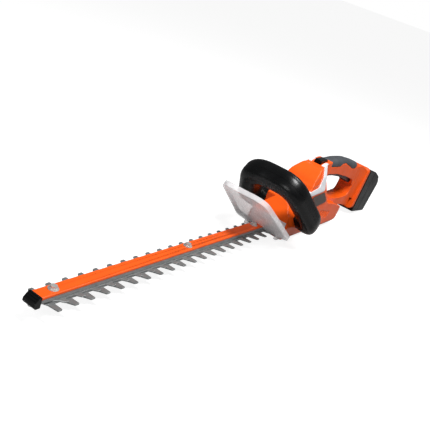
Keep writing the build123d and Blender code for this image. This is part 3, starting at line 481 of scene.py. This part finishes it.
def bail_shell(name, front, replaced):
    """One of the bail's two shells, swept along the loop."""
    path = resampled(rounded_path(BAIL_CORNERS, BAIL_RADII), BAIL_SPACING)
    tangents = np.gradient(path, axis=0)
    tangents /= np.linalg.norm(tangents, axis=1)[:, None]
    profile = bail_profile(front)
    verts = []
    for (y, v), (ty, tv) in zip(path, tangents):
        outward = (tv, -ty)
        for across, along in profile:
            verts.append(bail_point(y + outward[0] * across, v + outward[1] * across, along))
    faces = grid_faces(len(path), len(profile))
    last = (len(path) - 1) * len(profile)
    faces.append(tuple(range(len(profile))))
    faces.append(tuple(last + i for i in reversed(range(len(profile)))))
    obj = new_piece(name, "frame", "black_plastic", verts, faces, *replaced)
    return smooth(obj, 50)


# ---------------------------------------------------------------- guard

GUARD_LOW = (-48.0, 22.0)
GUARD_LEAN = math.radians(56.5)
GUARD_HALF_WIDTH = 60.0
GUARD_OUTLINE = [(60.0, 0.0), (53.5, 88.0), (45.0, 172.0), (-45.0, 172.0), (-53.5, 88.0), (-60.0, 0.0)]
GUARD_RADII = (5, 60, 30, 30, 60, 5)
GUARD_RIM = 9.0
GUARD_CUP = -4.0
GUARD_SPACING = 3.0
GUARD_CENTRE = np.array([0.0, 80.0])
# Rings from the centre's share of the outline to the rim: (share, depth, inset).
GUARD_FRONT = [(1.0, -GUARD_RIM, 0.0), (1.0, -1.0, 0.0), (1.0, 0.0, 0.0), (0.97, 0.9, 0.0),
               (0.93, 1.1, 0.0), (0.75, 1.2, 0.0), (0.5, 1.2, 0.0), (0.25, 1.2, 0.0)]
GUARD_BACK = [(0.25, -0.8, 0.0), (0.5, -0.8, 0.0), (0.75, -0.8, 0.0), (0.925, -0.9, 0.0),
              (0.96, -1.6, 0.0), (1.0, -2.4, 2.2), (1.0, -GUARD_RIM, 1.9)]


def guard_point(y, v, n):
    """Point at y across, v up the shield's plane and n out of it to the front."""
    cup = GUARD_CUP * (abs(y) / GUARD_HALF_WIDTH) ** 2
    x = GUARD_LOW[0] + v * math.sin(GUARD_LEAN) + (n + cup) * math.cos(GUARD_LEAN)
    z = GUARD_LOW[1] + v * math.cos(GUARD_LEAN) - (n + cup) * math.sin(GUARD_LEAN)
    return at(x, y, z)


def shrink(point, centre, inset):
    """Point moved towards the centre by about the inset."""
    away = point - centre
    length = np.linalg.norm(away)
    return centre + away * (1 - inset / length)


NOSE_FRONT_X = -66.0
FLANGE_FRONT_X = -63.6


def guard():
    """Shield with a rim turned back along its edge, cut out for the bar and blades."""
    outline = resampled(rounded_path(GUARD_OUTLINE, GUARD_RADII, closed=True), GUARD_SPACING, closed=True)
    centre = GUARD_CENTRE
    verts, faces = [], []
    for share, depth, inset in GUARD_FRONT + GUARD_BACK:
        for p in outline:
            y, v = centre + (shrink(p, centre, inset) - centre) * share
            verts.append(guard_point(y, v, depth))
    count = len(outline)
    split = len(GUARD_FRONT)
    total = split + len(GUARD_BACK)
    front_centre, back_centre = len(verts), len(verts) + 1
    verts += [guard_point(*centre, GUARD_FRONT[-1][1]), guard_point(*centre, GUARD_BACK[0][1])]
    for r in [ring for ring in range(total) if ring != split - 1]:
        below = ((r + 1) % total) * count
        for c in range(count):
            d = (c + 1) % count
            faces.append((r * count + c, r * count + d, below + d, below + c))
    for c in range(count):
        d = (c + 1) % count
        faces.append(((split - 1) * count + c, (split - 1) * count + d, front_centre))
        faces.append((split * count + d, split * count + c, back_centre))
    obj = new_piece("guard", "frame", "clear_plastic", verts, faces, "guard_shield")
    cut(obj, at(-90, -31, 17.0), at(2, 31, 28.6))
    cut(obj, at(-90, -12.6, 12.0), at(24, 12.6, 38.6))
    cut(obj, at(-140, -70, -40), at(NOSE_FRONT_X + 1.0, 70, 90))
    return smooth(obj, 30)


def guard_flange():
    """Mounting plate of the guard against the nose, with its two legs."""
    plate = box_mesh(at(NOSE_FRONT_X, -38, 16), at(FLANGE_FRONT_X, 38, 50))
    obj = new_piece("guard_flange", "frame", "clear_plastic", *plate)
    cut(obj, at(-70, -13, 10), at(-60, 13, 38.4))
    bevel(obj, 0.0008)
    for side, name in ((1, "guard_leg_left"), (-1, "guard_leg_right")):
        low_y, high_y = sorted((side * 31.5, side * 38.0))
        block = box_mesh(at(FLANGE_FRONT_X, low_y, 16.5), at(-46, high_y, 26))
        leg = new_piece(name, "frame", "clear_plastic", *block)
        bevel(leg, 0.0010)


def box_mesh(low, high):
    """Vertices and faces of a box between two corners."""
    verts = [Vector((x, y, z)) for x in (low.x, high.x) for y in (low.y, high.y) for z in (low.z, high.z)]
    faces = [(0, 1, 3, 2), (4, 6, 7, 5), (0, 4, 5, 1), (2, 3, 7, 6), (0, 2, 6, 4), (1, 5, 7, 3)]
    return verts, faces


def cut(obj, low, high):
    """Removes a box from a piece."""
    mesh = bpy.data.meshes.new("cutter")
    verts, faces = box_mesh(low, high)
    mesh.from_pydata([tuple(v) for v in verts], [], faces)
    cutter = bpy.data.objects.new("cutter", mesh)
    bpy.context.scene.collection.objects.link(cutter)
    step = obj.modifiers.new("cut", "BOOLEAN")
    step.operation = "DIFFERENCE"
    step.solver = "EXACT"
    step.object = cutter
    applied(obj)
    bpy.data.objects.remove(cutter)
    return obj


def bevel(obj, width):
    """Rounds a piece's sharp edges."""
    step = obj.modifiers.new("edges", "BEVEL")
    step.width = width
    step.segments = 3
    step.limit_method = "ANGLE"
    step.angle_limit = PIECE_ANGLE
    applied(obj)
    return smooth(obj, 40)


# ---------------------------------------------------------------- housing, grip, battery

def rebuilt(name, body, node, voxel, repeat=4):
    """Piece with a CAD node's shape, rebuilt with soft moulded edges."""
    obj = rounded(copy_of(name, node), voxel, repeat)
    return settle(obj, body, NODE_SLOTS[node], node)


OUTWARD_SIDE = 0.15
OUTWARD_TOP = 0.35


def skin(obj):
    """Places and normals of a piece's points, and which of them lie on its outside."""
    count = len(obj.data.vertices)
    place = np.empty(count * 3)
    normal = np.empty(count * 3)
    obj.data.vertices.foreach_get("co", place)
    obj.data.vertices.foreach_get("normal", normal)
    place, normal = place.reshape(-1, 3), normal.reshape(-1, 3)
    sideways = normal[:, 1] * np.sign(place[:, 1]) > OUTWARD_SIDE
    outside = sideways | (normal[:, 2] > OUTWARD_TOP)
    return place, normal, outside


def line_distance(xz, path):
    """Distance in millimetres from each (x, z) point to the nearest stretch of a path."""
    nearest = np.full(len(xz), 1e9)
    for start, end in zip(path[:-1], path[1:]):
        start, along = np.array(start), np.array(end) - np.array(start)
        share = np.clip((xz - start) @ along / (along @ along), 0.0, 1.0)
        nearest = np.minimum(nearest, np.linalg.norm(xz - start - share[:, None] * along, axis=1))
    return nearest


def inside_outline(xz, outline):
    """Which (x, z) points lie inside a closed outline."""
    odd = np.zeros(len(xz), bool)
    for (ax, az), (bx, bz) in zip(outline, outline[1:] + outline[:1]):
        if az == bz:
            continue
        crossing = ax + (xz[:, 1] - az) * (bx - ax) / (bz - az)
        odd ^= ((xz[:, 1] > az) != (xz[:, 1] > bz)) & (xz[:, 0] < crossing)
    return odd


def moved_skin(obj, height):
    """Moves outside points along their normals; height gives millimetres for each (x, z)."""
    place, normal, outside = skin(obj)
    xz = np.stack([place[:, 0] / MM - SHIFT_X, place[:, 2] / MM], 1)
    lift = height(xz) * outside
    place = place + normal * lift[:, None] * MM
    obj.data.vertices.foreach_set("co", place.ravel())
    obj.data.update()
    return obj


def raised(obj, outline, height, border):
    """Panel that stands proud of the skin inside an outline."""
    def lift(xz):
        depth = line_distance(xz, outline + outline[:1]) * inside_outline(xz, outline)
        return height * np.clip(depth / border, 0.0, 1.0)
    return moved_skin(obj, lift)


def grooved(obj, path, depth, width):
    """Soft groove along a path."""
    def lift(xz):
        return -depth * np.clip(1.0 - line_distance(xz, path) / width, 0.0, 1.0) ** 1.5
    return moved_skin(obj, lift)


HUMP_PANEL = [(-216.0, 168.0), (-195.0, 149.5), (-176.5, 121.5), (-169.5, 114.5), (-129.0, 109.5),
              (-100.0, 105.0), (-100.0, 168.0)]
HUMP_LIFT, HUMP_BORDER = 1.2, 3.5
CREASE_DEPTH, CREASE_WIDTH = 1.0, 10.0
HUMP_CREASE = [(-184.0, 133.0), (-160.0, 125.0), (-136.0, 115.0)]


def housing():
    """Moulded housing, both halves in one piece, with the hump's raised panel and its crease."""
    obj = rounded(copy_of("housing", "left_housing", "right_housing"), HOUSING_VOXEL, 3)
    settle(obj, "frame", "orange_plastic", "left_housing", "right_housing")
    raised(obj, HUMP_PANEL, HUMP_LIFT, HUMP_BORDER)
    grooved(obj, HUMP_CREASE, CREASE_DEPTH, CREASE_WIDTH)


def shells():
    housing()
    rebuilt("gear_cover", "frame", "gear_case_cover", 0.0010)
    rebuilt("grip_skin", "frame", "soft_grip", 0.0009, 3)
    rebuilt("pack_case_front", "battery", "battery_rail_case", 0.0010)
    rebuilt("pack_case_rear", "battery", "battery_outer_case", 0.0010, 5)
    rebuilt("trigger_lever", "trigger", "trigger", 0.0008, 5)


EDGE_WIDTHS = {
    "tip_guard": 0.0007, "bar_cover": 0.0008, "guide_bar": 0.0005, "left_accent_strip": 0.0004,
    "right_accent_strip": 0.0004, "left_label_plate": 0.0004, "right_label_plate": 0.0004,
    "lock_off_button": 0.0004, "battery_release": 0.0008, "gearbox_plate": 0.0006,
    "upper_blade": 0.00075, "lower_blade": 0.00075, "blade_bolts": 0.0003, "blade_nuts": 0.0003,
    "blade_washers": 0.00015, "housing_screws": 0.0003, "bail_screws": 0.0003, "guard_screws": 0.0003,
    "switch_body": 0.0005, "motor_end_caps": 0.0005, "drive_gear": 0.0002, "pinion": 0.0002,
}


def finish_cad_nodes():
    """Finishes for the CAD nodes, and rounded edges where they can be seen."""
    for node, obj in NODES.items():
        dress(obj, NODE_SLOTS[node])
        if node in EDGE_WIDTHS and not obj.hide_render:
            edge_rounding(node, EDGE_WIDTHS[node])


# ---------------------------------------------------------------- floor, light, camera

CAMERA_PLACE = at(1109.6, 471.8, 474.4)
CAMERA_AZIMUTH = math.radians(116.380)
CAMERA_ELEVATION = math.radians(20.158)
CAMERA_ROLL = math.radians(19.834)
CAMERA_LENS = 57.79


def camera():
    azimuth, elevation, roll = CAMERA_AZIMUTH, CAMERA_ELEVATION, CAMERA_ROLL
    back = Vector((math.sin(azimuth) * math.cos(elevation), -math.cos(azimuth) * math.cos(elevation),
                   math.sin(elevation)))
    right = (-back).cross(Vector((0, 0, 1))).normalized()
    up = right.cross(-back)
    tilted_right = math.cos(roll) * right + math.sin(roll) * up
    tilted_up = math.cos(roll) * up - math.sin(roll) * right
    turn = Matrix((tilted_right, tilted_up, back)).transposed()
    data = bpy.data.cameras.new("camera")
    data.lens = CAMERA_LENS
    data.sensor_width = 36.0
    data.clip_end = 200.0
    obj = bpy.data.objects.new("camera", data)
    obj.matrix_world = Matrix.Translation(CAMERA_PLACE) @ turn.to_4x4()
    bpy.context.scene.collection.objects.link(obj)
    bpy.context.scene.camera = obj


def area_light(name, place, aim, size, power):
    data = bpy.data.lights.new(name, "AREA")
    data.shape = "DISK"
    data.size = size
    data.energy = power
    obj = bpy.data.objects.new(name, data)
    obj.location = place
    obj.rotation_mode = "QUATERNION"
    obj.rotation_quaternion = (Vector(aim) - Vector(place)).to_track_quat("-Z", "Y")
    bpy.context.scene.collection.objects.link(obj)


def seen_or_bounced(tree, seen, bounced, target):
    """Uses one value for what the camera sees and a darker one for the light that bounces."""
    path = tree.nodes.new("ShaderNodeLightPath")
    mixer = tree.nodes.new("ShaderNodeMix")
    mixer.data_type = "RGBA"
    for key, value in (("A_Color", bounced), ("B_Color", seen)):
        socket = next(s for s in mixer.inputs if s.identifier == key)
        socket.default_value = grey_or_colour(value)
    factor = next(s for s in mixer.inputs if s.identifier == "Factor_Float")
    result = next(s for s in mixer.outputs if s.identifier == "Result_Color")
    tree.links.new(path.outputs["Is Camera Ray"], factor)
    tree.links.new(result, target)


FLOOR_HALF = 40.0
FLOOR_DROP = 0.0002


def floor():
    mesh = bpy.data.meshes.new("floor")
    corners = [(-FLOOR_HALF, -FLOOR_HALF, 0), (FLOOR_HALF, -FLOOR_HALF, 0),
               (FLOOR_HALF, FLOOR_HALF, 0), (-FLOOR_HALF, FLOOR_HALF, 0)]
    mesh.from_pydata(corners, [], [(0, 1, 2, 3)])
    obj = bpy.data.objects.new("floor", mesh)
    bpy.context.scene.collection.objects.link(obj)
    obj.location.z = cad_low.z - FLOOR_DROP
    g = Graph("floor")
    g.shader.inputs["Base Color"].default_value = (0.30, 0.30, 0.30, 1.0)
    g.shader.inputs["Roughness"].default_value = 0.85
    g.shader.inputs["Specular IOR Level"].default_value = 0.1
    seen_or_bounced(g.tree, 0.96, 0.0, g.shader.inputs["Emission Color"])
    g.shader.inputs["Emission Strength"].default_value = 0.92
    obj.data.materials.append(g.material)


def world():
    made = bpy.data.worlds.new("studio")
    bpy.context.scene.world = made
    made.use_nodes = True
    background = made.node_tree.nodes["Background"]
    seen_or_bounced(made.node_tree, 1.0, 0.16, background.inputs["Color"])
    background.inputs["Strength"].default_value = 1.0


def studio():
    floor()
    world()
    area_light("key", (0.25, 0.60, 1.7), (-0.05, 0.0, 0.05), 0.6, 38.0)
    area_light("front", (1.6, 0.1, 0.8), (0.1, 0.0, 0.05), 0.6, 6.0)
    area_light("rear", (-0.9, 0.3, 1.6), (-0.3, 0.0, 0.05), 0.5, 9.0)
    camera()
    bpy.context.scene.view_settings.view_transform = "Standard"


bail_shell("bail_front", True, ["bail_front_shell"])
bail_shell("bail_rear", False, ["bail_rear_shell"])
guard()
guard_flange()
shells()
finish_cad_nodes()
studio()
